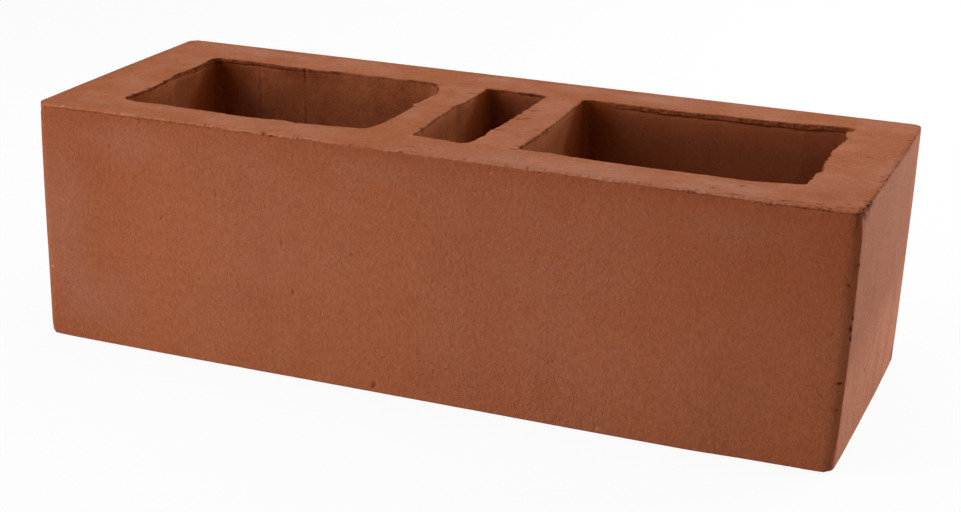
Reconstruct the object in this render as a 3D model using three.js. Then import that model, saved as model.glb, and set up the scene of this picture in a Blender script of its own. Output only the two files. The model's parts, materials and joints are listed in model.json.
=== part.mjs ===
// Hollow clay brick, extruded upright through a die and wire-cut to height. Millimetres, +Z up.
//
// The section lies in XY: X runs along the length, Y across the width, front is -Y. Two large
// cells with a narrow slot between them pass straight through from bed face to bed face, so the
// section is the same at every height. The origin is the middle of the lower bed face.
import * as THREE from "three";

// Outside of the brick, as fired
const length = 300;
const width = 115;
const height = 90;

const edgeRadius = 4; // upright edges, rounded by the die
const arris = 0.6; // wear along every wire-cut edge

// Walls met one after another along the length. The two cells share what these leave.
const leftEndWall = 26.5;
const leftWeb = 15;
const slotWidth = 24;
const rightWeb = 16;
const rightEndWall = 20.5;

// Shells in front of and behind each opening
const leftCellFrontShell = 17.5;
const leftCellBackShell = 22.5;
const slotFrontShell = 20;
const slotBackShell = 20.5;
const rightCellFrontShell = 19.5;
const rightCellBackShell = 19.5;

// Upright inner corners
const cellCornerRadius = 5;
const backLeftCornerRadius = 3.5;
const tightCornerRadius = 2;
const slotWideCornerRadius = 6;

const arcSegments = 3; // curve divisions, each giving two facets on an arc

const cellWidth =
  (length - leftEndWall - leftWeb - slotWidth - rightWeb - rightEndWall) / 2;

const leftCellStart = -length / 2 + leftEndWall;
const slotStart = leftCellStart + cellWidth + leftWeb;
const rightCellStart = slotStart + slotWidth + rightWeb;

/**
 * Draws a closed rectangle with a rounded corner of its own size at each corner.
 * @param {THREE.Path} path the outline to draw on
 * @param {{left: number, right: number, front: number, back: number}} box its four sides
 * @param {{frontLeft: number, frontRight: number, backRight: number, backLeft: number}} radii
 */
function roundedRectangle(path, box, radii) {
  const { left, right, front, back } = box;
  const { frontLeft, frontRight, backRight, backLeft } = radii;
  const quarter = Math.PI / 2;
  path.moveTo(left + frontLeft, front);
  path.lineTo(right - frontRight, front);
  path.absarc(right - frontRight, front + frontRight, frontRight, -quarter, 0, false);
  path.lineTo(right, back - backRight);
  path.absarc(right - backRight, back - backRight, backRight, 0, quarter, false);
  path.lineTo(left + backLeft, back);
  path.absarc(left + backLeft, back - backLeft, backLeft, quarter, 2 * quarter, false);
  path.lineTo(left, front + frontLeft);
  path.absarc(left + frontLeft, front + frontLeft, frontLeft, -2 * quarter, -quarter, false);
  return path;
}

/** The sides of an opening that starts at x and keeps a shell in front of it and behind it. */
function openingBox(x, openingWidth, frontShell, backShell) {
  return {
    left: x,
    right: x + openingWidth,
    front: -width / 2 + frontShell,
    back: width / 2 - backShell,
  };
}

/** Outer outline of the section, with its three openings as holes. */
function brickSection() {
  const section = roundedRectangle(
    new THREE.Shape(),
    { left: -length / 2, right: length / 2, front: -width / 2, back: width / 2 },
    {
      frontLeft: edgeRadius,
      frontRight: edgeRadius,
      backRight: edgeRadius,
      backLeft: edgeRadius,
    },
  );
  const leftCell = roundedRectangle(
    new THREE.Path(),
    openingBox(leftCellStart, cellWidth, leftCellFrontShell, leftCellBackShell),
    {
      frontLeft: tightCornerRadius,
      frontRight: cellCornerRadius,
      backRight: cellCornerRadius,
      backLeft: backLeftCornerRadius,
    },
  );
  const slot = roundedRectangle(
    new THREE.Path(),
    openingBox(slotStart, slotWidth, slotFrontShell, slotBackShell),
    {
      frontLeft: tightCornerRadius,
      frontRight: slotWideCornerRadius,
      backRight: tightCornerRadius,
      backLeft: tightCornerRadius,
    },
  );
  const rightCell = roundedRectangle(
    new THREE.Path(),
    openingBox(rightCellStart, cellWidth, rightCellFrontShell, rightCellBackShell),
    {
      frontLeft: tightCornerRadius,
      frontRight: cellCornerRadius,
      backRight: tightCornerRadius,
      backLeft: backLeftCornerRadius,
    },
  );
  section.holes.push(leftCell, slot, rightCell);
  return section;
}

/** The section drawn up to the full height, its cut edges taken off by the arris. */
function brickBody() {
  const body = new THREE.ExtrudeGeometry(brickSection(), {
    depth: height - 2 * arris,
    bevelEnabled: true,
    bevelThickness: arris,
    bevelSize: arris,
    bevelOffset: -arris,
    bevelSegments: 1,
    curveSegments: arcSegments,
  });
  return body.translate(0, 0, arris);
}

const firedClay = new THREE.MeshStandardMaterial({
  color: 0x9c5d42,
  roughness: 0.9,
  metalness: 0,
});

const brick = new THREE.Mesh(brickBody(), firedClay);
brick.name = "brick";

const group = new THREE.Group();
group.add(brick);

export default group;
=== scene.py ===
"""Dress of the hollow clay brick: its fired body with torn, wire-cut rims, in a plain studio.

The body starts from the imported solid, which is merged, remeshed fine and then worked: the
walls bow and the right end leans as a die-drawn column does, the cutting wire leaves teeth,
lips and tears along every rim, and handling takes small chips out of the edges. The work is
done in millimetres at the solid's own scale. A little firing shrinkage then keeps the leaning
end inside the solid's box, and the mesh goes back into metres.
"""

import itertools
import json
import logging
import math
from collections.abc import Callable
from dataclasses import dataclass, field
from enum import Enum
from typing import Any, Protocol

import bmesh
import bpy
import numpy as np
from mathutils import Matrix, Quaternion, Vector


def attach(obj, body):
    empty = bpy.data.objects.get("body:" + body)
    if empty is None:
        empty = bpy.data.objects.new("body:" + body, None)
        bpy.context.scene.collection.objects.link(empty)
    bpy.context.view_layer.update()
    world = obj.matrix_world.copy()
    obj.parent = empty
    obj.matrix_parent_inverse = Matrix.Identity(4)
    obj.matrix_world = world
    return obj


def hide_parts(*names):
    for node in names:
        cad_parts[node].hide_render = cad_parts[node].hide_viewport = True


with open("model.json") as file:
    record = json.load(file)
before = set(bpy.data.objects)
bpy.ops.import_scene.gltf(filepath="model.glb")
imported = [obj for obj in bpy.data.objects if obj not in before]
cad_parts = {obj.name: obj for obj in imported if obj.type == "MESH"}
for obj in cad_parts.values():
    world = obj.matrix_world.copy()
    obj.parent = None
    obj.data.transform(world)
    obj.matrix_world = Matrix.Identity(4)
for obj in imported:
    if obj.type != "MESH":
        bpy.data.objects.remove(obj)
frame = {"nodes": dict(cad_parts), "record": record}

Array = np.ndarray
Pair = tuple[float, float]
Triple = tuple[float, float, float]
Colour = Triple
Profile = tuple[Pair, ...]
Socket = bpy.types.NodeSocket
Value = Socket | float | Triple

MM = 0.001  # metres in a millimetre
NOTES = ("cut", "inner", "cross", "torn", "pale", "shade", "lip", "blush")
EVEN: Triple = (1.0, 1.0, 1.0)
WHITE = (1.0, 1.0, 1.0, 1.0)  # with full cover

log = logging.getLogger("brick")


class Side(Enum):
    """The four sides of an opening, each with its outward direction in plan."""

    LEFT = (-1.0, 0.0)
    RIGHT = (1.0, 0.0)
    FRONT = (0.0, -1.0)
    BACK = (0.0, 1.0)


class Face(Enum):
    """Where a mark lies, as the axis that it sinks along and the two axes that place it."""

    TOP = (2, 0, 1)
    FRONT = (1, 0, 2)
    RIGHT = (0, 1, 2)


class Kind(Enum):
    """What a mark is, as the note that it leaves and whether it has any depth."""

    PIT = ("torn", True)  # a small hole, painted dark as the shade in it
    CHIP = ("pale", True)  # a fresh, paler break
    WEAR = ("", True)  # a rubbed spot that keeps its colour
    SMUDGE = ("torn", False)  # a darker touch
    SHADE = ("shade", False)  # a part painted darker
    BLUSH = ("blush", False)  # a part that fired paler and pinker


def smooth(values: Array) -> Array:
    """Eases values from 0 to 1, flat at both ends, and holds them there outside."""
    held = np.clip(values, 0.0, 1.0)
    return held * held * (3.0 - 2.0 * held)


def bell(values: Array) -> Array:
    """1 where the values are 0, falling away smoothly on both sides."""
    return np.exp(-(values**2))


def along(profile: Profile, places: Array) -> Array:
    """Reads a profile of (place, value) pairs at many places, with straight lines between.

    Args:
        profile: pairs in rising order of place.
        places: where to read it.

    Returns:
        One value for each place.
    """
    return np.interp(places, [p for p, _ in profile], [v for _, v in profile])


def rounded(distance: Array, depth: Array, radius: Array, reach: float) -> tuple[Array, Array]:
    """Brings the points near an edge onto two planes that an arc joins.

    Args:
        distance: how far each point lies behind the upright plane.
        depth: how far it lies under the level plane.
        radius: the arc's radius at each point.
        reach: how near to both planes a point has to be.

    Returns:
        The new distances and depths.
    """
    near = (distance < reach) & (depth < reach)
    turning = (distance < radius) & (depth < radius)
    to_wall = near & ~turning & (distance <= depth)
    to_bed = near & ~turning & (distance > depth)
    inward, downward = radius - distance, radius - depth
    pull = radius / np.maximum(np.hypot(inward, downward), 1e-6)
    new_distance = np.where(to_wall, 0.0, np.where(turning, radius - inward * pull, distance))
    new_depth = np.where(to_bed, 0.0, np.where(turning, radius - downward * pull, depth))
    return new_distance, new_depth


class ClayNoise:
    """Seeded gradient noise, the same on every run."""

    CELLS = 256
    SWING = 1.7  # brings the noise to run from about -1 to 1

    def __init__(self, seed: int) -> None:
        """Draws the lattice's order and directions from one seed.

        Args:
            seed: the same seed gives the same noise.
        """
        draw = np.random.default_rng(seed)
        self._order = draw.permutation(self.CELLS)
        directions = draw.normal(size=(self.CELLS, 3))
        directions /= np.linalg.norm(directions, axis=1, keepdims=True)
        self._directions = directions.astype(np.float32)

    def _corner(self, cell: Array) -> Array:
        """The gradient at each lattice point.

        Args:
            cell: N x 3 whole numbers, one lattice point each.

        Returns:
            N x 3 directions.
        """
        mask = self.CELLS - 1
        chain = self._order[cell[:, 0] & mask]
        chain = self._order[(chain + cell[:, 1]) & mask]
        chain = self._order[(chain + cell[:, 2]) & mask]
        return self._directions[chain]

    def __call__(self, points: Array, lump: float | Triple) -> Array:
        """Noise at the points.

        Args:
            points: N x 3 places in millimetres.
            lump: how far apart the lumps are, in millimetres, alike or for each axis.

        Returns:
            N values, nearly all between -1 and 1.
        """
        scaled = points / np.asarray(lump, np.float32)
        cell = np.floor(scaled).astype(np.int64)
        part = (scaled - cell).astype(np.float32)
        ease = part * part * part * (part * (part * 6.0 - 15.0) + 10.0)
        total = np.zeros(len(points), np.float32)
        for corner in itertools.product((0, 1), repeat=3):
            step = np.asarray(corner)
            share = np.where(step == 1, ease, 1.0 - ease).prod(axis=1)
            reach = part - step.astype(np.float32)
            total += share * (self._corner(cell + step) * reach).sum(axis=1)
        return total * self.SWING


@dataclass(frozen=True)
class Outline:
    """A rectangle in plan with a rounded corner of its own size at each corner. Millimetres."""

    left: float
    right: float
    front: float
    back: float
    corners: tuple[float, float, float, float]  # front left, front right, back right, back left

    def measure(self, plan: Array) -> tuple[Array, Array]:
        """Distance from the outline, positive outside it, and the way out.

        Args:
            plan: N x 2 places.

        Returns:
            N distances and N x 2 unit directions.
        """
        centre = np.array([(self.left + self.right) / 2, (self.front + self.back) / 2])
        half = np.array([(self.right - self.left) / 2, (self.back - self.front) / 2])
        offset = plan - centre
        front_left, front_right, back_right, back_left = self.corners
        at_front = np.where(offset[:, 0] > 0, front_right, front_left)
        at_back = np.where(offset[:, 0] > 0, back_right, back_left)
        corner = np.where(offset[:, 1] > 0, at_back, at_front)[:, None]
        past = np.abs(offset) - (half - corner)
        out = np.maximum(past, 0.0)
        length = np.linalg.norm(out, axis=1)
        distance = length + np.minimum(past.max(axis=1), 0.0) - corner[:, 0]
        nearest = (past == past.max(axis=1, keepdims=True)).astype(float)
        way = np.where(length[:, None] > 1e-6, out / np.maximum(length, 1e-6)[:, None], nearest)
        return distance, way * np.sign(offset)


@dataclass
class Clay:
    """The fine mesh's vertices while the tools work on them. Millimetres.

    Every tool reads the places from before the work and adds its own movement and notes, so
    the tools don't depend on one another's order.
    """

    points: Array
    normals: Array
    shell: Outline
    height: float
    below: Array = field(init=False)  # depth under the upper bed face
    above: Array = field(init=False)  # height over the lower one
    outer: Array = field(init=False)  # how far in from the outside
    inward: Array = field(init=False)  # the way in, as a unit direction in plan
    move: Array = field(init=False)
    notes: dict[str, Array] = field(init=False)

    def __post_init__(self) -> None:
        """Measures the faces and starts with no movement."""
        count = len(self.points)
        self.below = self.height - self.points[:, 2]
        self.above = self.points[:, 2].copy()
        distance, way = self.shell.measure(self.points[:, :2])
        self.outer, self.inward = -distance, -way
        self.move = np.zeros((count, 3))
        self.notes = {name: np.zeros(count) for name in NOTES}
        self.notes["cut"] = smooth((np.abs(self.normals[:, 2]) - 0.5) / 0.35)
        self.notes["cross"] = smooth((np.abs(self.normals[:, 0]) - 0.78) / 0.18)

    def slide(self, near: Array, way: Array, amount: Array) -> None:
        """Moves some vertices level, by an amount along a direction in plan."""
        self.move[near, :2] += way * amount[:, None]

    def note(self, name: str, near: Array, values: Array) -> None:
        """Adds to what is noted on some vertices."""
        self.notes[name][near] += values


class Tool(Protocol):
    """Anything that works on the clay."""

    def work(self, clay: Clay) -> None:
        """Moves vertices and notes what it did to them."""


@dataclass(frozen=True)
class SlowWaves:
    """Slow hollows in every face, so that none is a true plane. Millimetres."""

    outside: float = 0.12
    inside: float = 0.28
    dimples: float = 0.05
    long_wave: float = 46.0  # how far apart the hollows lie
    short_wave: float = 17.0
    short_share: float = 0.45
    dimple: Triple = (5.0, 5.0, 9.0)
    edge_clear: float = 6.0  # how near the bed faces' edges the hollows fade

    def work(self, clay: Clay) -> None:
        """Sinks the hollows along the faces' normals.

        Args:
            clay: what is worked on.
        """
        noise = ClayNoise(11)
        slow = noise(clay.points, self.long_wave)
        slow = slow + self.short_share * noise(clay.points, self.short_wave)
        fine = ClayNoise(12)(clay.points, self.dimple)
        shown = smooth(1.0 - (clay.outer - 2.0) / 6.0)
        deep = self.outside * shown + self.inside * (1.0 - shown)
        sink = np.maximum(deep * slow + self.dimples * fine, 0.0)
        level = np.abs(clay.normals[:, 2])
        clear = smooth(np.minimum(clay.above, clay.below) / self.edge_clear + level)
        clay.move -= clay.normals * (sink * clear * (1.0 - 0.8 * level))[:, None]


@dataclass(frozen=True)
class EndLean:
    """Ends that stand a little out of square. Millimetres, outwards."""

    start: float = 131.0  # how far from the middle the lean begins
    run: float = 19.0
    front: Profile = ((0, 0.1), (8, 0.6), (20, 1.1), (38, 1.6), (60, 2.0), (90, 2.2))
    back: Profile = ((0, -0.8), (18, -0.3), (41, 0.15), (65, 0.6), (90, 0.85))
    share: Profile = ((-57.5, 1.0), (-20, 1.0), (16, 0.85), (40, 0.45), (57.5, 0.0))
    left: Profile = ((0, -0.35), (25, -0.1), (55, 0.05), (75, -0.05), (90, -0.2))
    droop: float = 0.35  # how far the left end's upper front corner hangs
    ease: float = 0.3  # how far the front face turns back towards the right upright edge
    ease_start: float = 139.0
    ease_run: float = 8.0
    droop_start: float = 105.0
    droop_run: float = 45.0

    def work(self, clay: Clay) -> None:
        """Leans the right end to its front upper corner, and moves the left end out.

        Args:
            clay: what is worked on.
        """
        x, y, z = clay.points.T
        front = along(self.share, y)
        lean = front * along(self.front, z) + (1.0 - front) * along(self.back, z)
        clay.move[:, 0] += smooth((x - self.start) / self.run) * lean
        clay.move[:, 0] -= smooth((-x - self.start) / self.run) * along(self.left, z)
        turned = np.clip((x - self.ease_start) / self.ease_run, 0.0, 1.2) ** 2
        clay.move[:, 1] += self.ease * turned * smooth(-y / 50.0)
        hung = smooth((-x - self.droop_start) / self.droop_run)
        to_front = np.minimum(y / clay.shell.back, 0)
        clay.move[:, 2] += self.droop * hung * to_front * z / clay.height


@dataclass(frozen=True)
class CrispUpright:
    """The right upright front edge, whose rounding stops short at the end face. Millimetres."""

    radius: float = 4.0
    sweep: float = 60.0  # degrees that the new arc turns through
    meeting: float = 50.0  # where on the old arc the new one meets the end face, in degrees
    foot: float = 2.0  # the height up to which the old rounding stays
    fade: float = 13.0  # how much higher the new one is complete

    def work(self, clay: Clay) -> None:
        """Moves the rounding onto a wider arc and carries the end face out to it.

        Args:
            clay: what is worked on.
        """
        centre_x = clay.shell.right - self.radius
        centre_y = clay.shell.front + self.radius
        x, y, z = clay.points.T
        near = np.flatnonzero((x > centre_x) & (y < centre_y))
        over, ahead = x[near] - centre_x, centre_y - y[near]
        far = np.hypot(over, ahead)
        angle = np.degrees(np.arctan2(over, ahead))
        share = np.clip((far / self.radius) ** 2, 0.0, 1.0)
        share *= smooth((z[near] - self.foot) / self.fade)
        wide = self.radius / math.sin(math.radians(self.sweep))
        turned = np.radians(np.minimum(angle / self.meeting, 1.0) * self.sweep)
        left_over = np.clip((angle - self.meeting) / (90.0 - self.meeting), 0.0, 1.0)
        new_over = wide * np.sin(turned)
        edge_ahead = self.radius - wide * (1.0 - math.cos(math.radians(self.sweep)))
        new_ahead = np.where(
            left_over > 0.0,
            edge_ahead * (1.0 - left_over),
            self.radius - wide * (1.0 - np.cos(turned)),
        )
        old_over = self.radius * np.sin(np.radians(angle))
        old_ahead = self.radius * np.cos(np.radians(angle))
        clay.move[near, 0] += (new_over - old_over) * share
        clay.move[near, 1] -= (new_ahead - old_ahead) * share


@dataclass(frozen=True)
class LowerFrontEdge:
    """The lower front edge, bulging along the middle and lifted at its ends. Millimetres."""

    lift: Profile = (
        (-150, 0.5), (-138, 0.25), (-100, 0.0), (105, 0.0), (120, 0.25), (135, 0.45), (147, 0.5),
        (150, 0.6),
    )
    bulge: Profile = ((-150, 0.0), (0, 0.25), (60, 0.5), (100, 0.5), (120, 0.0))
    height: float = 9.0  # how far up the lift shows
    bulge_height: float = 60.0

    def work(self, clay: Clay) -> None:
        """Moves the edge out and up.

        Args:
            clay: what is worked on.
        """
        x, y, _ = clay.points.T
        front = smooth((-y - 40.0) / 17.5) * (clay.outer < 12.0)
        low = smooth(1.0 - clay.above / self.height)
        clay.move[:, 2] += along(self.lift, x) * front * low
        clay.move[:, 1] -= along(self.bulge, x) * front * smooth(1.0 - clay.above / self.bulge_height)


@dataclass(frozen=True)
class OuterEdges:
    """Wear along the outer edges of both bed faces, with painted shade and highlight along them.
    Millimetres; shares run up to 1.
    """

    plain_radius: float = 0.15
    front_radius: float = 1.1  # along the upper front edge
    end_radius: float = 0.6  # along the upper right edge
    radii: Pair = (0.1, 2.2)  # the smallest and the largest, however uneven the wear
    reach: float = 1.1  # how near to both faces the rounding works
    band: float = 16.0  # how far up or down the work goes
    skin: float = 1.6  # how far in a vertex still counts as lying on the edge
    bite: float = 0.35  # depth of the nicks
    plain_bite: float = 0.1  # share of it along the edges that nobody handles
    smear: float = 0.8  # how far the cut face's look runs over the front edge
    plain_smear: float = 0.2
    front_line: float = 0.62  # darkness of the torn line under the smear, partly painted shade
    end_line: float = 0.28
    pits: float = 0.55
    crest_highlight: float = 0.25  # painted highlight: paleness along the crest of the upper front edge
    # painted shade: a thin dark line along the upper back edges
    back_edge_shade: float = 0.25
    # painted shadow: a dark line where the lower front and end edges meet the floor
    foot_shadow: float = 0.4
    # painted shade on the skin under the upper front edge: where it is deepest, how it fades and its
    # strength along the edge
    shade_depth: float = 1.8
    shade_run: float = 4.2
    lining: Profile = ((-150, 0.9), (-60, 0.9), (-30, 0.5), (45, 0.4), (70, 0.7), (150, 0.9))
    shading: Profile = ((-150, 0.5), (-110, 0.7), (0, 0.8), (50, 0.8), (90, 1.0), (150, 1.0))

    def work(self, clay: Clay) -> None:
        """Works the upper edges and the lower ones."""
        self._work_edge(clay, clay.below, 1.0)
        self._work_edge(clay, clay.above, -1.0)

    def _work_edge(self, clay: Clay, depth: Array, up: float) -> None:
        """Rounds, nicks and marks one level's edges.

        Args:
            clay: what is worked on.
            depth: how far each vertex lies from that level's bed face.
            up: 1 for the upper edges and -1 for the lower ones.
        """
        noise = ClayNoise(21)
        near = np.flatnonzero((depth < self.band) & (clay.outer < 4.0))
        spots, way = clay.points[near], clay.inward[near]
        outer, under = np.maximum(clay.outer[near], 0.0), np.maximum(depth[near], 0.0)
        to_front, to_end = np.maximum(way[:, 1], 0.0), np.maximum(-way[:, 0], 0.0)
        front, end = to_front * (up > 0), to_end * (up > 0)
        shown = np.maximum(front, end)
        uneven = 1.0 + 0.35 * noise(spots, 9.0) + 0.25 * noise(spots, 2.6)
        worn = self.plain_radius + self.front_radius * front**2 + self.end_radius * end**2
        new_outer, new_under = rounded(outer, under, np.clip(worn * uneven, *self.radii), self.reach)
        rough = noise(spots, 1.2) + 0.6 * noise(spots, 2.4) + 0.5 * noise(spots, 6.0)
        edge = bell((outer - under) / 1.6) * (under < 2.5) * (outer < 2.5)
        bite = self.bite * (self.plain_bite + shown) * np.maximum(rough - 0.1, -0.3) * edge
        clay.slide(near, way, new_outer - outer + bite)
        clay.move[near, 2] -= up * (new_under - under + bite)

        drip = 1.0 + 0.35 * noise(spots, 7.0) + 0.25 * noise(spots, 2.2)
        smear = (self.plain_smear + self.smear * front) * drip
        over = smooth((smear - under) / 0.3) if up > 0 else smooth((outer - under) / 0.2)
        on_edge = outer < self.skin
        clay.notes["cut"][near] = np.where(on_edge, over, clay.notes["cut"][near])
        dashes = 0.6 * noise(spots, 2.4) + noise(spots, 11.0)
        line = bell((under - smear - 0.15) / 0.32) * on_edge * smooth((dashes + 1.0) / 1.1)
        lining = along(self.lining, spots[:, 0])
        clay.note("torn", near, (self.front_line * front * lining + self.end_line * end) * line)
        pits = smooth((noise(spots, 1.0) + 0.8 * noise(spots, 5.0) - 0.5) / 0.3)
        clay.note("torn", near, self.pits * shown * pits * edge)
        # painted highlight along the crest of the upper front edge
        crest = bell((under - 0.4) / 0.4) * on_edge
        clay.note("pale", near, self.crest_highlight * front * crest * smooth(rough))
        # painted shade on the skin just under the upper front edge
        fading = np.exp(-np.maximum(under - self.shade_depth, 0.0) / self.shade_run)
        shade = smooth((under - 0.6) / 1.0) * fading * (clay.outer[near] < 1.0)
        clay.note("shade", near, front * shade * along(self.shading, spots[:, 0]))
        # painted shade along the upper back edges
        hidden = np.maximum(-way[:, 1], 0.0) * (up > 0) * bell(outer / 0.9) * (under < 0.8)
        clay.note("torn", near, self.back_edge_shade * hidden)
        # painted shadow where the lower front and end edges meet the floor
        foot = bell((under - 0.3) / 0.4) * on_edge * (up < 0)
        clay.note("torn", near, self.foot_shadow * np.maximum(to_front, to_end) * foot)


@dataclass(frozen=True)
class Rim:
    """One side of an opening, as the die and the cutting wire left it. Millimetres.

    Profiles run along the side in the part's x or y. Positive values lean into the opening.
    """

    bow: Profile = ((0.0, 0.0),)  # the whole wall's lean, from top to bottom
    edge: Profile = ((0.0, 0.0),)  # the rim's own lean, just below the cut
    ledge: Profile = ((0.0, 1.0),)  # how far down the torn strip reaches
    strip: Profile = ((0.0, 0.0),)  # how rough the torn strip is, up to 1
    undercut: Profile = ((0.0, 0.0),)  # hollow under the strip, with its shadow painted dark in it
    crack: float = 0.4  # how dark a line just under the cut edge shows, up to 1
    teeth: float = 0.3
    steps: float = 0.0  # height of the burrs that stand like stairs
    worn: float = 0.2  # radius of the edge


@dataclass
class RimView:
    """The vertices near one opening's rim, seen from that rim. Millimetres."""

    near: Array
    spots: Array
    distance: Array
    way: Array
    depth: Array
    rims: dict[Side, Rim]

    def blend(self, read: Callable[[Rim, Array], Array]) -> Array:
        """Mixes a value over the sides by how far the wall faces each of them.

        Args:
            read: gives the values from a rim and the places along it.

        Returns:
            One value for each vertex.
        """
        total = np.zeros(len(self.near))
        for side, rim in self.rims.items():
            across = side.value[0] != 0.0
            places = self.spots[:, 1] if across else self.spots[:, 0]
            share = np.maximum(self.way @ np.array(side.value), 0.0) ** 2
            total += share * read(rim, places)
        return total

    def profile(self, name: str) -> Array:
        """One of the rims' profiles."""
        return self.blend(lambda rim, places: along(getattr(rim, name), places))

    def number(self, name: str) -> Array:
        """One of the rims' plain numbers."""
        return self.blend(lambda rim, places: np.full(len(places), getattr(rim, name)))


@dataclass(frozen=True)
class Opening:
    """One opening through the brick: bowed walls and two torn rims. Millimetres."""

    name: str
    outline: Outline
    rims: dict[Side, Rim]
    seed: int
    reach: float = 7.0  # how far into the clay the walls' movement runs out
    drift: float = 0.8  # how far the whole opening sits towards the front
    rounding: float = 1.0  # how near to wall and bed the worn edge works
    radii: Pair = (0.08, 1.2)  # smallest and largest radius of the worn edge
    lean_depth: float = 3.2  # how far down a rim's own lean shows
    tooth_depth: float = 1.3  # how far down the teeth and burrs show
    burr_power: float = 0.45  # below 1, the burrs stand up in steps
    crumb: float = 0.35  # height of the crumbs on a torn strip
    crumb_shade: float = 0.5  # painted shade in the gaps between them, up to 1

    def work(self, clay: Clay) -> None:
        """Bows the walls and tears the rims at the top and at the bottom.

        Args:
            clay: what is worked on.
        """
        plan, room, out = clay.points[:, :2], self.reach, self.outline
        inside_x = (plan[:, 0] > out.left - room) & (plan[:, 0] < out.right + room)
        inside_y = (plan[:, 1] > out.front - room) & (plan[:, 1] < out.back + room)
        near = np.flatnonzero(inside_x & inside_y)
        distance, way = out.measure(plan[near])
        kept = distance < room
        near, way = near[kept], way[kept]
        distance = np.maximum(distance[kept], 0.0)
        view = RimView(near, clay.points[near], distance, way, clay.below[near], self.rims)
        held = smooth(1.0 - distance / room)
        clay.slide(near, way, -view.profile("bow") * held)
        clay.move[near, 1] -= self.drift * held
        walls = smooth(1.0 - (distance - 0.6) / 0.8) * (1.0 - clay.notes["cut"][near])
        clay.note("inner", near, walls)
        self._tear(clay, view, 1.0)
        view.depth = clay.above[near]
        self._tear(clay, view, -1.0)

    def _tear(self, clay: Clay, view: RimView, up: float) -> None:
        """Tears one rim.

        Args:
            clay: what is worked on.
            view: the vertices near this rim.
            up: 1 for the upper rim and -1 for the lower one.
        """
        noise = ClayNoise(31 + self.seed + (0 if up > 0 else 7))
        near, distance, depth = view.near, view.distance, np.maximum(view.depth, 0.0)
        away = np.maximum(distance, depth)
        flat = view.spots * np.array([1.0, 1.0, 0.3])
        slow = noise(flat, 11.0)
        worn = np.clip(view.number("worn") * (1.0 + 0.5 * noise(view.spots, 4.0)), *self.radii)
        new_distance, new_depth = rounded(distance, depth, worn, self.rounding)
        push = new_distance - distance
        clay.move[near, 2] -= up * (new_depth - depth)
        crest = smooth(0.5 + (distance - depth) / 0.3)
        clay.notes["cut"][near] = np.where(away < 1.2, crest, clay.notes["cut"][near])

        teeth = 0.7 * noise(flat, 3.4) + 0.8 * noise(flat, 1.6) + 0.6 * noise(flat, 0.9)
        stair = noise(flat, 3.6)
        stair = np.sign(stair) * np.abs(stair) ** self.burr_power
        close = bell(away / self.tooth_depth)
        push -= view.profile("edge") * bell(away / self.lean_depth)
        push -= view.number("teeth") * (teeth * close + 0.4 * slow * bell(away / 3.0))
        push -= view.number("steps") * stair * close

        on_wall = smooth(1.0 - (distance - 0.3) / 0.8)
        ledge = np.maximum(view.profile("ledge") * (1.0 + 0.22 * noise(flat, 5.0)), 0.35)
        held = smooth((ledge - depth) / 0.35 + 0.5)
        crumbs = noise(view.spots, 1.1) + 0.7 * noise(view.spots, 2.0)
        strip = view.profile("strip") * held * on_wall
        push -= self.crumb * crumbs * strip * smooth(depth / 0.4)
        under = (depth - ledge - 0.25) / 0.9
        recess = np.clip(under * 4.0 + 0.5, 0.0, 1.0) * bell(np.maximum(under, 0.0))
        push += view.profile("undercut") * recess * on_wall
        clay.slide(near, view.way, push)

        ragged = smooth((noise(flat, 2.6) + 0.8 * slow + 0.4) / 1.0)
        # painted shadow: a dark line in the hollow under the torn strip
        gap = smooth(1.0 - np.abs(depth - ledge - 0.45) / 0.6) * on_wall
        dark = np.clip(view.profile("undercut") * 2.0, 0.0, 1.0)
        clay.note("torn", near, dark * gap * (0.6 + 0.4 * ragged))
        clay.note("lip", near, strip * (1.0 - clay.notes["cut"][near]))
        # painted shade in the gaps between the crumbs
        clay.note("torn", near, self.crumb_shade * strip * smooth(crumbs - 0.1) * smooth(depth / 0.3))
        crack = bell((depth - 0.4) / 0.42) * on_wall * (0.4 + 0.6 * ragged)
        clay.note("torn", near, view.number("crack") * crack)


@dataclass(frozen=True)
class DieLine:
    """An upright line that a nick in the die drew down a back wall. Millimetres."""

    place: float
    wall: float
    ridge: float
    groove: float
    # painted shade: how dark the groove shows
    dark: float
    width: float = 0.5
    ridge_away: float = 1.9  # the ridge's place and width, in widths of the groove
    ridge_width: float = 1.5
    # painted highlight: how pale the ridge shows
    ridge_highlight: float = 0.12

    def work(self, clay: Clay) -> None:
        """Draws the groove and the ridge beside it.

        Args:
            clay: what is worked on.
        """
        x, y, _ = clay.points.T
        near = np.flatnonzero((np.abs(y - self.wall) < 1.5) & (np.abs(x - self.place) < 6.0))
        offset = (x[near] - self.place) / self.width
        drawn = 0.7 + 0.6 * ClayNoise(51)(clay.points[near], 14.0)
        sunk, raised = bell(offset), bell((offset + self.ridge_away) / self.ridge_width)
        clay.move[near, 1] += (self.groove * sunk - self.ridge * raised) * drawn
        # painted shade in the groove and painted highlight on the ridge beside it
        clay.note("torn", near, self.dark * sunk * drawn)
        clay.note("pale", near, self.ridge_highlight * raised * drawn)


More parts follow.
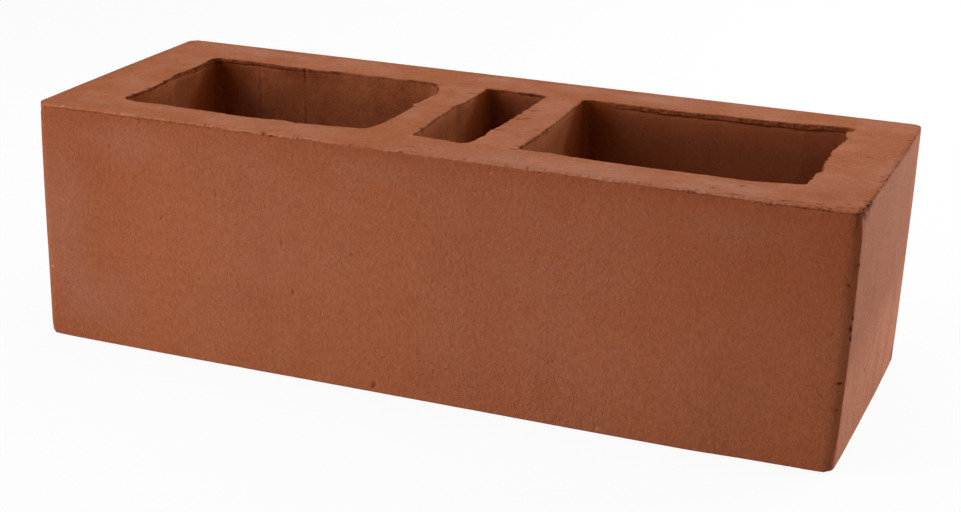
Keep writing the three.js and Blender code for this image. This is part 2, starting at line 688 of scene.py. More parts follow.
@dataclass(frozen=True)
class Mark:
    """One pit, chip or smudge on an outer face. Millimetres.

    The place is two of the part's coordinates: x, y on top, x, z in front and y, z at the
    right end. The length lies along the heading, which turns from the first towards the second.
    """

    THICKNESS = 2.5  # how far behind its face a mark still reaches
    SPREAD = 2.5  # how far past its own length it is worked out

    face: Face
    place: Pair
    length: float = 1.0
    width: float = 0.8
    depth: float = 0.4
    heading: float = 0.0
    kind: Kind = Kind.PIT
    strength: float = 0.75

    def work(self, clay: Clay) -> None:
        """Presses the mark in and notes its colour.

        Args:
            clay: what is worked on.
        """
        axis, first, second = self.face.value
        planes = {Face.TOP: clay.height, Face.FRONT: clay.shell.front, Face.RIGHT: clay.shell.right}
        points, reach = clay.points, self.SPREAD * max(self.length, self.width)
        near = np.flatnonzero(
            (np.abs(points[:, axis] - planes[self.face]) < self.THICKNESS)
            & (np.abs(points[:, first] - self.place[0]) < reach)
            & (np.abs(points[:, second] - self.place[1]) < reach)
        )
        angle = math.radians(self.heading)
        over = points[near, first] - self.place[0]
        up = points[near, second] - self.place[1]
        lengthways = (over * math.cos(angle) + up * math.sin(angle)) / self.length
        across = (up * math.cos(angle) - over * math.sin(angle)) / self.width
        lump = max(0.9, 0.5 * self.length, 0.5 * self.width)
        ragged = 1.0 + 0.6 * ClayNoise(41)(points[near], lump)
        hollow = np.exp(-1.6 * (np.maximum(lengthways**2 + across**2, 0.0) * ragged) ** 1.4)
        name, is_deep = self.kind.value
        if is_deep:
            clay.move[near] -= clay.normals[near] * (self.depth * hollow)[:, None]
        if name:
            clay.note(name, near, self.strength * hollow)


@dataclass
class ClayBrick:
    """The fired body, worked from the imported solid. Millimetres."""

    tools: list[Tool]
    node: str = "brick"
    body: str = "root"
    slot: str = "fired_clay"
    name: str = "brick_body"
    length: float = 300.0
    width: float = 115.0
    height: float = 90.0
    edge_radius: float = 4.0
    grain: float = 0.45  # edge of one cell of the fine mesh
    quick_grain: float = 0.6
    triangles: int = 192_000
    slack: float = 0.01  # what stays free between the dressed body and the solid's box
    shrinkage: Triple = (0.009, 0.009, 0.004)
    still_point: float = -112.0  # the x that the shrinkage leaves alone
    crease: float = 38.0  # edges that turn by more than this many degrees stay sharp
    telling: float = 0.12  # how strong the notes have to be for the thinning to spare a vertex
    care: float = 60.0  # how much dearer a spared vertex is to take out

    def fine_copy(self) -> bpy.types.Object:
        """A closed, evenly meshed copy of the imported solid.

        Returns:
            A new object at the origin, whose mesh only the sculpting changes.
        """
        solid = bmesh.new()
        solid.from_mesh(frame["nodes"][self.node].data)
        bmesh.ops.remove_doubles(solid, verts=solid.verts, dist=1e-6)
        mesh = bpy.data.meshes.new(self.name)
        solid.to_mesh(mesh)
        solid.free()
        piece = bpy.data.objects.new(self.name, mesh)
        bpy.context.scene.collection.objects.link(piece)
        remesh = piece.modifiers.new("fine", "REMESH")
        remesh.mode = "VOXEL"
        remesh.voxel_size = self.grain * MM
        remesh.adaptivity = 0.0
        self._apply(piece)
        return piece

    def _apply(self, piece: bpy.types.Object) -> None:
        """Puts the piece's modifiers into its mesh.

        Args:
            piece: the object whose modifiers are used up.
        """
        graph = bpy.context.evaluated_depsgraph_get()
        graph.update()
        made = bpy.data.meshes.new_from_object(piece.evaluated_get(graph))
        old = piece.data
        piece.modifiers.clear()
        piece.data = made
        bpy.data.meshes.remove(old)
        made.name = self.name

    def sculpt(self, piece: bpy.types.Object) -> None:
        """Lets every tool work on the fine mesh, then shrinks it as the kiln does.

        Args:
            piece: the fine copy.
        """
        mesh = piece.data
        flat = np.empty(len(mesh.vertices) * 3, np.float32)
        mesh.vertices.foreach_get("co", flat)
        points = flat.reshape(-1, 3).astype(np.float64) / MM
        mesh.vertex_normals.foreach_get("vector", flat)
        normals = flat.reshape(-1, 3).astype(np.float64)
        half_length, half_width = self.length / 2, self.width / 2
        corners = (self.edge_radius,) * 4
        shell = Outline(-half_length, half_length, -half_width, half_width, corners)
        clay = Clay(points, normals, shell, self.height)
        for tool in self.tools:
            tool.work(clay)

        still = np.array([self.still_point, 0.0, 0.0])
        placed = still + (clay.points + clay.move - still) * (1.0 - np.array(self.shrinkage))
        mesh.vertices.foreach_set("co", (placed * MM).astype(np.float32).ravel())
        for name, values in clay.notes.items():
            note = mesh.attributes.new(name, "FLOAT", "POINT")
            note.data.foreach_set("value", np.clip(values, 0.0, 1.0).astype(np.float32))
        mesh.update()

    def hold(self, piece: bpy.types.Object) -> None:
        """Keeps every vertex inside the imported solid's box.

        Args:
            piece: the worked body.
        """
        mesh = piece.data
        flat = np.empty(len(mesh.vertices) * 3, np.float32)
        mesh.vertices.foreach_get("co", flat)
        half_length, half_width = self.length / 2 - self.slack, self.width / 2 - self.slack
        low = np.array([-half_length, -half_width, 0.0]) * MM
        high = np.array([half_length, half_width, self.height - self.slack]) * MM
        held = np.clip(flat.reshape(-1, 3), low, high)
        mesh.vertices.foreach_set("co", held.astype(np.float32).ravel())
        mesh.update()

    def thin(self, piece: bpy.types.Object) -> None:
        """Takes triangles out of the plain faces and leaves them along rims, edges and marks.

        Args:
            piece: the worked body, with its notes.
        """
        read: dict[str, Array] = {}
        for name in ("cut", "torn", "pale", "lip"):
            read[name] = np.empty(len(piece.data.vertices), np.float32)
            piece.data.attributes[name].data.foreach_get("value", read[name])
        turning = 4.0 * read["cut"] * (1.0 - read["cut"])
        detail = turning + read["torn"] + read["pale"] + read["lip"]
        group = piece.vertex_groups.new(name="plain")
        group.add(np.flatnonzero(detail < self.telling).tolist(), 1.0, "REPLACE")
        decimate = piece.modifiers.new("thin", "DECIMATE")
        decimate.ratio = self.triangles / (2.0 * len(piece.data.polygons))
        decimate.vertex_group = group.name
        decimate.vertex_group_factor = self.care
        self._apply(piece)
        piece.vertex_groups.clear()

    def build(self, finish: "FiredClay") -> bpy.types.Object:
        """Makes the body, dresses it, parents it to the root body's empty and hides the imported solid.

        Args:
            finish: the clay's finish.

        Returns:
            The finished piece.
        """
        piece = self.fine_copy()
        self.sculpt(piece)
        self.thin(piece)
        self.hold(piece)
        piece.data.shade_smooth()
        piece.data.set_sharp_from_angle(angle=math.radians(self.crease))
        piece.data.materials.clear()
        piece.data.materials.append(finish.material())
        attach(piece, self.body)
        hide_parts(self.node)
        log.info("%s: %d faces", piece.name, len(piece.data.polygons))
        return piece


class Nodes:
    """A material's or world's node tree, with short ways to add and join nodes."""

    def __init__(self, tree: bpy.types.NodeTree) -> None:
        """Takes over a tree and empties it."""
        self.tree = tree
        tree.nodes.clear()

    def add(self, kind: str, **settings: Any) -> bpy.types.Node:
        """Adds a node and sets its own properties.

        Args:
            kind: the node's type.
            settings: its properties, by name.

        Returns:
            The node.
        """
        node = self.tree.nodes.new(kind)
        for name, value in settings.items():
            setattr(node, name, value)
        return node

    def join(self, source: Socket, target: Socket) -> None:
        """Links an output to an input."""
        self.tree.links.new(source, target)

    def feed(self, socket: Socket, value: Value) -> None:
        """Gives an input either a link or a plain value.

        Args:
            socket: the input.
            value: an output, a number or a colour.
        """
        if isinstance(value, bpy.types.NodeSocket):
            self.join(value, socket)
        else:
            socket.default_value = value

    def attribute(self, name: str) -> Socket:
        """A note that the sculpting left on the mesh."""
        return self.add("ShaderNodeAttribute", attribute_name=name).outputs["Fac"]

    def place(self, scale: Triple = EVEN, turn: float = 0.0) -> Socket:
        """Object coordinates, stretched and turned about the vertical, as a vector.

        Args:
            scale: below 1 along an axis draws a pattern out along it.
            turn: in degrees.

        Returns:
            The place of every point.
        """
        where = self.add("ShaderNodeTexCoord").outputs["Object"]
        mapping = self.add("ShaderNodeMapping", vector_type="POINT")
        mapping.inputs["Scale"].default_value = scale
        mapping.inputs["Rotation"].default_value = (0.0, 0.0, math.radians(turn))
        self.join(where, mapping.inputs["Vector"])
        return mapping.outputs["Vector"]

    def where(self, axis: str) -> Socket:
        """One of the object coordinates, named by its axis.

        Args:
            axis: X, Y or Z.

        Returns:
            That coordinate in metres.
        """
        split = self.add("ShaderNodeSeparateXYZ")
        self.join(self.add("ShaderNodeTexCoord").outputs["Object"], split.inputs["Vector"])
        return split.outputs[axis]

    def noise(self, vector: Socket, scale: float, detail: float, roughness: float) -> Socket:
        """A noise texture's height.

        Args:
            vector: the places to read.
            scale: lumps in a metre.
            detail: how many finer layers lie on the first.
            roughness: how much the finer layers show.

        Returns:
            Heights between 0 and 1.
        """
        node = self.add("ShaderNodeTexNoise", noise_dimensions="3D")
        self.join(vector, node.inputs["Vector"])
        node.inputs["Scale"].default_value = scale
        node.inputs["Detail"].default_value = detail
        node.inputs["Roughness"].default_value = roughness
        return node.outputs["Fac"]

    def cells(self, vector: Socket, scale: float) -> Socket:
        """Distance from the nearest of many scattered points.

        Args:
            vector: the places to read.
            scale: points in a metre.

        Returns:
            The distances.
        """
        node = self.add("ShaderNodeTexVoronoi", feature="F1")
        self.join(vector, node.inputs["Vector"])
        node.inputs["Scale"].default_value = scale
        return node.outputs["Distance"]

    def span(self, value: Value, low: float, high: float, start: float = 0.0, end: float = 1.0) -> Socket:
        """Maps a range to another, smoothly and held at the ends.

        Args:
            value: what is mapped.
            low: where the range starts.
            high: where it ends.
            start: what its start becomes.
            end: what its end becomes.

        Returns:
            The mapped value.
        """
        node = self.add("ShaderNodeMapRange", interpolation_type="SMOOTHSTEP")
        self.feed(node.inputs["Value"], value)
        node.inputs["From Min"].default_value = low
        node.inputs["From Max"].default_value = high
        node.inputs["To Min"].default_value = start
        node.inputs["To Max"].default_value = end
        return node.outputs["Result"]

    def math(self, operation: str, first: Value, second: Value) -> Socket:
        """One step of arithmetic.

        Args:
            operation: its name.
            first: the first operand.
            second: the second one.

        Returns:
            The result.
        """
        node = self.add("ShaderNodeMath", operation=operation)
        self.feed(node.inputs[0], first)
        self.feed(node.inputs[1], second)
        return node.outputs["Value"]

    def times(self, first: Value, second: Value) -> Socket:
        """The product of two values."""
        return self.math("MULTIPLY", first, second)

    def plus(self, first: Value, second: Value) -> Socket:
        """The sum of two values."""
        return self.math("ADD", first, second)

    def mix(self, share: Value, first: Value, second: Value) -> Socket:
        """Mixes two colours.

        Args:
            share: how much of the second shows.
            first: a colour.
            second: another one.

        Returns:
            The colour between them.
        """
        node = self.add("ShaderNodeMix", data_type="RGBA", blend_type="MIX")
        self.feed(node.inputs["Factor"], share)
        for socket, value in ((node.inputs[6], first), (node.inputs[7], second)):
            self.feed(socket, (*value, 1.0) if isinstance(value, tuple) else value)
        return node.outputs[2]

    def blend(self, share: Value, first: Value, second: Value) -> Socket:
        """Mixes two plain values.

        Args:
            share: how much of the second counts.
            first: a value.
            second: another one.

        Returns:
            The value between them.
        """
        node = self.add("ShaderNodeMix", data_type="FLOAT")
        self.feed(node.inputs["Factor"], share)
        self.feed(node.inputs[2], first)
        self.feed(node.inputs[3], second)
        return node.outputs[0]


@dataclass(frozen=True)
class Slope:
    """A change along one axis of the brick, from one value to another. Metres."""

    axis: str
    low: float
    high: float
    start: float = 0.0
    end: float = 1.0

    def add(self, n: Nodes) -> Socket:
        """Adds the nodes that read it."""
        return n.span(n.where(self.axis), self.low, self.high, self.start, self.end)


@dataclass(frozen=True)
class Pattern:
    """A noise that shows where it lies between two heights. Lumps are counted per metre."""

    scale: float
    low: float
    high: float
    start: float = 0.0
    end: float = 1.0
    detail: float = 3.0
    roughness: float = 0.55
    stretch: Triple = EVEN
    turn: float = 0.0

    def add(self, n: Nodes) -> Socket:
        """Adds the nodes that draw it."""
        height = n.noise(n.place(self.stretch, self.turn), self.scale, self.detail, self.roughness)
        return n.span(height, self.low, self.high, self.start, self.end)


@dataclass(frozen=True)
class Specks:
    """Round specks about scattered points, in some parts of the faces only."""

    scale: float
    low: float
    high: float
    some: Pattern

    def add(self, n: Nodes) -> Socket:
        """Adds the nodes that draw them."""
        specks = n.span(n.cells(n.place(), self.scale), self.low, self.high, 1.0, 0.0)
        return n.times(specks, self.some.add(n))


@dataclass(frozen=True)
class Relief:
    """Fine height that a noise gives. Lumps are counted per metre."""

    scale: float
    detail: float
    roughness: float
    height: float
    stretch: Triple = EVEN
    turn: float = 0.0

    def add(self, n: Nodes) -> Socket:
        """Adds the nodes that raise it."""
        vector = n.place(self.stretch, self.turn)
        return n.times(n.noise(vector, self.scale, self.detail, self.roughness), self.height)


# How patterns are drawn out along x, y and z. Below 1 they grow longer along that axis.
TALL: Triple = (1.0, 1.0, 0.7)
DRAWN: Triple = (1.0, 1.0, 0.12)
END_DRAWN: Triple = (1.0, 1.0, 0.3)
DRAGGED: Triple = (0.6, 1.0, 1.0)
SCRATCHED: Triple = (0.2, 1.0, 1.0)
WIRE_TURN = -8.0  # degrees that the cutting wire's drag marks lie off the length


@dataclass(frozen=True)
class Skin:
    """The outer skin that the die drew. Colours are linear, lengths in metres."""

    base: Colour = (0.390, 0.120, 0.052)
    pink: Colour = (0.388, 0.127, 0.061)
    deep: Colour = (0.315, 0.084, 0.034)
    blush: Colour = (0.365, 0.130, 0.072)
    clouds: Pattern = Pattern(24.0, 0.42, 0.62, detail=4.0, stretch=TALL)
    patches: Pattern = Pattern(55.0, 0.50, 0.72, end=0.3, detail=4.0)
    streaks: Pattern = Pattern(45.0, 0.50, 0.74, end=0.2, stretch=DRAWN)
    # painted shade: the skin darkens towards both ends and near the top
    painted_shade_left: Slope = Slope("X", -0.150, -0.090, 0.65, 0.0)
    painted_shade_right: Slope = Slope("X", 0.050, 0.145, 0.0, 0.45)
    painted_shade_top: Slope = Slope("Z", 0.030, 0.088, 0.0, 0.5)
    painted_shade_middle: float = 0.5  # how much of the painted shade near the top shows between the ends
    noted: float = 0.9  # how far the sculpted notes colour the skin

    def colour(self, n: Nodes) -> Socket:
        """Colour of the front, the back and the rounded upright edges.

        Args:
            n: the tree.

        Returns:
            The colour.
        """
        skin = n.mix(self.clouds.add(n), self.base, self.pink)
        skin = n.mix(self.patches.add(n), skin, self.deep)
        skin = n.mix(self.streaks.add(n), skin, self.deep)
        # painted shade towards both ends and near the top
        skin = n.mix(self._painted_shade(n), skin, self.deep)
        skin = n.mix(n.times(n.attribute("blush"), self.noted), skin, self.blush)
        # the shade note: painted shade under the upper front edge, and patches painted darker
        return n.mix(n.times(n.attribute("shade"), self.noted), skin, self.deep)

    def _painted_shade(self, n: Nodes) -> Socket:
        """Painted shade: how far the skin darkens towards both ends, and more near the top."""
        ends = n.plus(self.painted_shade_left.add(n), self.painted_shade_right.add(n))
        return n.plus(ends, n.times(self.painted_shade_top.add(n), n.plus(ends, self.painted_shade_middle)))


@dataclass(frozen=True)
class EndSkin:
    """The skin of the two end faces. Colours are linear, lengths in metres."""

    base: Colour = (0.435, 0.162, 0.090)
    deep: Colour = (0.370, 0.130, 0.068)
    # painted light: the paler colour of the end face low down
    low: Colour = (0.58, 0.230, 0.132)
    broad: Pattern = Pattern(85.0, 0.44, 0.68, end=0.55, detail=4.0, stretch=END_DRAWN)
    fine: Pattern = Pattern(120.0, 0.46, 0.66, end=0.4, roughness=0.6, stretch=END_DRAWN)
    waves: Relief = Relief(40.0, 3.0, 0.55, 0.016)  # of the line that the painted light of the pale foot ends at
    foot: tuple[float, float, float, float] = (0.030, 0.054, 0.85, 0.0)
    noted: float = 0.8

    def colour(self, n: Nodes) -> Socket:
        """Colour of the end faces, streaked upright, with painted light that makes them paler low down.

        Args:
            n: the tree.

        Returns:
            The colour.
        """
        end = n.mix(self.broad.add(n), self.base, self.deep)
        end = n.mix(n.times(n.attribute("shade"), self.noted), end, self.deep)
        # painted light: paler towards the foot of the end face
        end = n.mix(n.span(n.plus(n.where("Z"), self.waves.add(n)), *self.foot), end, self.low)
        return n.mix(self.fine.add(n), end, self.deep)


@dataclass(frozen=True)
class InnerWalls:
    """The openings' walls, with painted light and shade on them. Colours are linear, lengths in metres.
    """

    base: Colour = (0.332, 0.091, 0.034)
    pale: Colour = (0.412, 0.124, 0.050)
    deep: Colour = (0.305, 0.080, 0.028)
    cross: Colour = (0.265, 0.056, 0.009)  # painted shade: the deep colour of the left corners and of shaded side walls
    lit: Colour = (0.405, 0.116, 0.040)  # painted light: paler runs on the side walls
    dark: Colour = (0.205, 0.035, 0.003)  # painted shade: side walls towards the back
    paling: Slope = Slope("X", -0.060, 0.030)
    patches: Pattern = Pattern(60.0, 0.4, 0.7, detail=4.0, stretch=TALL)
    grit: Pattern = Pattern(360.0, 0.46, 0.60, roughness=0.6)
    gritty: Slope = Slope("X", -0.035, -0.015, 0.35, 0.0)  # how much the grit shows
    runs: Pattern = Pattern(90.0, 0.40, 0.66, end=0.6, detail=4.0, stretch=DRAWN)
    west: Slope = Slope("X", -0.110, -0.080, 1.0, 0.0)
    nearer: Slope = Slope("Y", -0.036, -0.004, 0.95, 0.25)
    # moves the painted shadow's edge forward on the lower parts of the side walls
    rim: Slope = Slope("Z", 0.076, 0.089, 0.013, 0.0)
    shadow_from: Pair = (0.018, 0.030)  # the y at which the painted shadow on a side wall begins and ends to darken
    corners: tuple[float, ...] = (-0.1235, -0.0095, 0.0305)  # the x of each left corner
    corner_rise: Pair = (-0.004, 0.0)  # where the painted shade begins and is full, from that x
    corner_fall: Pair = (0.002, 0.014)  # where it begins to end and has ended

    def colour(self, n: Nodes, cross: Socket) -> Socket:
        """Colour of the walls.

        Args:
            n: the tree.
            cross: where a wall faces along the length.

        Returns:
            The colour.
        """
        wall = n.mix(self.paling.add(n), self.pale, self.base)
        wall = n.mix(self.patches.add(n), wall, self.deep)
        wall = n.mix(n.times(self.grit.add(n), self.gritty.add(n)), wall, self.deep)
        # side walls get painted light in paler runs, and painted shade on the far left wall, most towards
        # the front
        side = n.mix(self.runs.add(n), self.lit, self.base)
        side = n.mix(n.times(self.west.add(n), self.nearer.add(n)), side, self.cross)
        # painted shadow: side walls darken towards the back, sooner lower down
        inward = n.plus(n.where("Y"), self.rim.add(n))
        side = n.mix(n.span(inward, *self.shadow_from), side, self.dark)
        # painted shade in the left corners
        wall = n.mix(self._corner_shade(n), wall, self.cross)
        return n.mix(cross, wall, side)

    def _corner_shade(self, n: Nodes) -> Value:
        """Painted shade: how far the walls darken towards the left corners of each opening.

        Args:
            n: the tree.

        Returns:
            A share up to 1.
        """
        share: Value = 0.0
        for corner in self.corners:
            rise_from, rise_to = (corner + away for away in self.corner_rise)
            fall_from, fall_to = (corner + away for away in self.corner_fall)
            rising = n.span(n.where("X"), rise_from, rise_to)
            falling = n.span(n.where("X"), fall_from, fall_to, 1.0, 0.0)
            share = n.plus(n.times(rising, falling), share)
        return share


@dataclass(frozen=True)
class CutFace:
    """The wire-cut bed faces. Colours are linear, lengths in metres."""

    base: Colour = (0.420, 0.132, 0.055)
    pale: Colour = (0.485, 0.180, 0.098)
    deep: Colour = (0.345, 0.098, 0.036)
    bloom_and_sheen: Colour = (0.480, 0.200, 0.125)  # painted sheen along the front shell, and the paler colour of the blush patches
    clouds: Pattern = Pattern(38.0, 0.45, 0.62, end=0.75, detail=5.0)
    # painted sheen: where it shows along the front shell of the top
    sheen_front: Slope = Slope("Y", -0.052, -0.034, 1.0, 0.0)
    sheen_start: Slope = Slope("X", -0.020, 0.030, 0.05, 1.0)
    sheen_end: Slope = Slope("X", 0.112, 0.128, 1.0, 0.0)
    sheen_clouds: Pattern = Pattern(26.0, 0.30, 0.55, 0.2, 0.7)
    noted: float = 0.8  # how far the sculpted notes colour the face
    calm: Slope = Slope("X", 0.105, 0.128, 1.0, 0.5)  # how much smears and wisps show
    smears: Pattern = Pattern(90.0, 0.48, 0.70, 0.0, 0.4, 5.0, 0.6, DRAGGED, WIRE_TURN)
    wisps: Pattern = Pattern(150.0, 0.60, 0.75, 0.0, 0.35, 4.0, 0.6, DRAGGED, WIRE_TURN)
    scratches: Pattern = Pattern(330.0, 0.68, 0.76, 0.0, 0.35, 2.0, 0.55, SCRATCHED, WIRE_TURN)
    drags: Relief = Relief(260.0, 5.0, 0.6, 0.55, DRAGGED, WIRE_TURN)
    grain: Relief = Relief(800.0, 2.0, 0.55, 0.3)

    def colour(self, n: Nodes) -> Socket:
        """Colour with faint drag marks, and a painted sheen along the front.

        Args:
            n: the tree.

        Returns:
            The colour.
        """
        bed = n.mix(self.clouds.add(n), self.base, self.pale)
        # painted sheen along the front shell
        middle = n.times(self.sheen_start.add(n), self.sheen_end.add(n))
        bloom_and_sheen = n.times(n.times(self.sheen_front.add(n), middle), self.sheen_clouds.add(n))
        bed = n.mix(bloom_and_sheen, bed, self.bloom_and_sheen)
        bed = n.mix(n.attribute("blush"), bed, self.bloom_and_sheen)
        bed = n.mix(n.times(n.attribute("shade"), self.noted), bed, self.deep)
        calm = self.calm.add(n)
        bed = n.mix(n.times(self.smears.add(n), calm), bed, self.deep)
        bed = n.mix(n.times(self.wisps.add(n), calm), bed, self.pale)
        return n.mix(self.scratches.add(n), bed, self.deep)

    def relief(self, n: Nodes) -> Socket:
        """Height of the dragged surface."""
        return n.plus(self.drags.add(n), self.grain.add(n))


@dataclass(frozen=True)
class DrawnRelief:
    """Height of the faces that the die drew: orange peel, with fine raised threads."""

    peel: Relief = Relief(720.0, 3.0, 0.68, 0.64, (1.0, 1.0, 0.9))
    thread_scale: float = 330.0
    thread_detail: float = 2.0
    thread_ridge: float = 1.0  # how high the ridges start
    thread_from: Pair = (1.25, 1.65)  # the ridge heights between which a thread rises
    thread_height: float = 0.18
    some: Pattern = Pattern(45.0, 0.38, 0.60, detail=2.0)
    outside: Slope = Slope("X", 0.050, 0.095, 1.0, 0.8)  # share on the outer skin
    ends: float = 0.65  # share of the height on the end faces
    back_walls: Slope = Slope("X", -0.035, -0.015, 0.75, 0.3)  # share on long walls
    side_walls: float = 0.3  # share on the walls that face along the length

    def relief(self, n: Nodes, inner: Socket) -> Socket:
        """Height of the skin and the walls.

        Args:
            n: the tree.
            inner: where the faces lie inside the openings.

        Returns:
            The height.
        """
        ridge = n.add("ShaderNodeTexNoise", noise_dimensions="3D", noise_type="RIDGED_MULTIFRACTAL")
        n.join(n.place(), ridge.inputs["Vector"])
        ridge.inputs["Scale"].default_value = self.thread_scale
        ridge.inputs["Detail"].default_value = self.thread_detail
        ridge.inputs["Offset"].default_value = self.thread_ridge
        threads = n.times(n.span(ridge.outputs["Fac"], *self.thread_from), self.some.add(n))
        relief = n.plus(self.peel.add(n), n.times(threads, self.thread_height))
        cross = n.attribute("cross")
        outside = n.times(self.outside.add(n), n.blend(cross, 1.0, self.ends))
        inside = n.blend(cross, self.back_walls.add(n), self.side_walls)
        return n.times(relief, n.blend(inner, outside, inside))


@dataclass(frozen=True)
class FiredClay:
    """Unglazed, dull orange-brown terracotta. Colours are linear, lengths in metres."""

    skin: Skin = Skin()
    end: EndSkin = EndSkin()
    walls: InnerWalls = InnerWalls()
    cut_face: CutFace = CutFace()
    drawn: DrawnRelief = DrawnRelief()
    lip: Colour = (0.27, 0.074, 0.024)
    # the dark of torn clay and specks, also used for painted shade in hollows, gaps and along edges
    torn: Colour = (0.095, 0.022, 0.006)
    # the paler colour of fresh chips and pale specks, also used for painted highlight on edge crests and
    # ridges
    chip_and_highlight: Colour = (0.60, 0.32, 0.21)
    walled: float = 0.95  # how far the walls' colour replaces the skin's
    lip_share: float = 0.8
    torn_span: tuple[float, float, float, float] = (0.05, 0.85, 0.0, 0.95)
    chip_span: tuple[float, float, float, float] = (0.1, 0.9, 0.0, 0.75)
    fine_dim: float = 0.12  # how dark the gaps between fine grains are
    fine_grains: Pattern = Pattern(900.0, 0.36, 0.60, detail=2.0)
    coarse_dim: float = 0.09  # the same between coarse ones
    coarse_grains: Pattern = Pattern(420.0, 0.38, 0.60, roughness=0.6)
    dark_specks: Specks = Specks(260.0, 0.05, 0.13, Pattern(70.0, 0.54, 0.64, end=0.4, detail=1.0))
    pale_specks: Specks = Specks(340.0, 0.04, 0.14, Pattern(90.0, 0.52, 0.64, end=0.3, detail=1.0))
    roughness: float = 0.85
    specular: float = 0.05
    relief: float = 0.0011
    relief_strength: float = 0.8

    def material(self) -> bpy.types.Material:
        """Builds the node tree.

        Returns:
            The material.
        """
        material = bpy.data.materials.new("fired_clay_terracotta")
        material.use_nodes = True
        n = Nodes(material.node_tree)
        cut, inner = n.attribute("cut"), n.attribute("inner")
        colour = n.mix(cut, self._sides(n, inner), self.cut_face.colour(n))
        colour = self._grains(n, colour)
        colour = n.mix(n.times(n.attribute("lip"), self.lip_share), colour, self.lip)
        colour = n.mix(n.span(n.attribute("torn"), *self.torn_span), colour, self.torn)
        colour = n.mix(n.span(n.attribute("pale"), *self.chip_span), colour, self.chip_and_highlight)
        bump = n.add("ShaderNodeBump")
        bump.inputs["Strength"].default_value = self.relief_strength
        bump.inputs["Distance"].default_value = self.relief
        relief = n.blend(cut, self.drawn.relief(n, inner), self.cut_face.relief(n))
        n.join(relief, bump.inputs["Height"])
        clay = n.add("ShaderNodeBsdfPrincipled")
        n.join(colour, clay.inputs["Base Color"])
        clay.inputs["Roughness"].default_value = self.roughness
        clay.inputs["Specular IOR Level"].default_value = self.specular
        n.join(bump.outputs["Normal"], clay.inputs["Normal"])
        out = n.add("ShaderNodeOutputMaterial")
        n.join(clay.outputs["BSDF"], out.inputs["Surface"])
        return material

    def _sides(self, n: Nodes, inner: Socket) -> Socket:
        """Colour of the faces that the die drew, outside and inside.

        Args:
            n: the tree.
            inner: where the faces lie inside the openings.

        Returns:
            The colour.
        """
        cross = n.attribute("cross")
        sides = n.mix(cross, self.skin.colour(n), self.end.colour(n))
        return n.mix(n.times(inner, self.walled), sides, self.walls.colour(n, cross))

    def _grains(self, n: Nodes, colour: Socket) -> Socket:
        """Fine grains, scattered dark specks and a few pale ones.

        Args:
            n: the tree.
            colour: what they lie on.

        Returns:
            The colour with its grains.
        """
        dim = n.mix(self.fine_dim, colour, self.torn)
        colour = n.mix(self.fine_grains.add(n), dim, colour)
        dull = n.mix(self.coarse_dim, colour, self.torn)
        colour = n.mix(self.coarse_grains.add(n), dull, colour)
        colour = n.mix(self.dark_specks.add(n), colour, self.torn)
        return n.mix(self.pale_specks.add(n), colour, self.chip_and_highlight)


@dataclass(frozen=True)
class SoftBox:
    """An oblong lamp that points at the brick. Metres and degrees; turn 0 is in front."""

    name: str
    turn: float
    rise: float
    away: float
    wide: float
    tall: float
    level: float  # 1 lights a facing surface so that its colour shows as written
    aim_height: float = 0.045

    def build(self) -> bpy.types.Object:
        """Makes the lamp and aims it.

        Returns:
            The lamp's object.
        """
        lamp = bpy.data.lights.new(self.name, "AREA")
        lamp.shape = "RECTANGLE"
        lamp.size = self.wide
        lamp.size_y = self.tall
        lamp.energy = self.level * (math.pi * self.away) ** 2
        box = bpy.data.objects.new(self.name, lamp)
        bpy.context.scene.collection.objects.link(box)
        turn, rise = math.radians(self.turn), math.radians(self.rise)
        way = Vector((math.sin(turn) * math.cos(rise), -math.cos(turn) * math.cos(rise), math.sin(rise)))
        box.location = way * self.away + Vector((0.0, 0.0, self.aim_height))
        box.rotation_mode = "QUATERNION"
        box.rotation_quaternion = way.to_track_quat("Z", "Y")
        box.visible_camera = False
        return box


